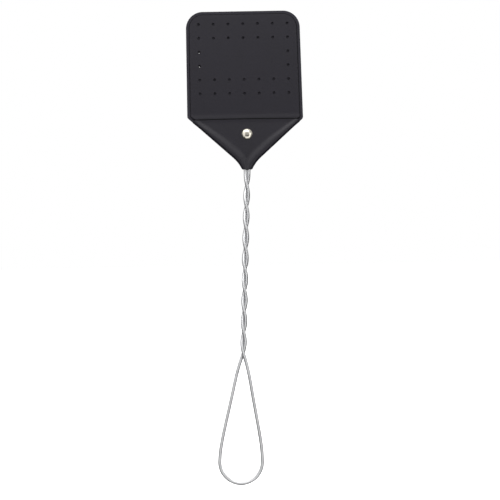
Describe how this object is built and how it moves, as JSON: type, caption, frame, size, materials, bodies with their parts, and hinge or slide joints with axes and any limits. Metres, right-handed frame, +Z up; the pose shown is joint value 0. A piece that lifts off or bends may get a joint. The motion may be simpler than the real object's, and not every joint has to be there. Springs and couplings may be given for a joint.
{
  "type": "fly swatter",
  "caption": "Leather fly swatter: a perforated flexible leather blade in a riveted leather pocket, on a twisted steel wire handle ending in a hand loop.",
  "frame": {"origin": "centre of the round end of the hand loop, in the wire's own plane", "axes": "+Z up through the blade, +X to the right seen from the front, -Y out of the blade's front face; the wire handle leans 2.2 degrees from +Z in the XZ plane"},
  "size_m": [0.1097, 0.0119, 0.4491],
  "materials": {
    "blade_leather": "smooth black finished leather, satin",
    "pocket_leather": "smooth black finished leather, satin",
    "rivet_metal": "nickel plated, polished",
    "handle_wire": "bright zinc plated drawn wire"
  },
  "bodies": {
    "handle": {"wire_handle": "handle_wire", "pocket_wrap": "pocket_leather", "front_sheet_tail": "blade_leather", "back_sheet_tail": "blade_leather", "rivet_cap": "rivet_metal", "rivet_post": "rivet_metal"},
    "blade": {"front_sheet": "blade_leather", "back_sheet": "blade_leather"}
  },
  "joints": [
    {"name": "blade_flex", "type": "hinge", "parent": "handle", "child": "blade", "pos_m": [0.01066, 0, 0.32522], "axis": [1, 0, 0], "range_deg": [-25, 25], "stiffness_Nm_per_rad": 0.35}
  ]
}
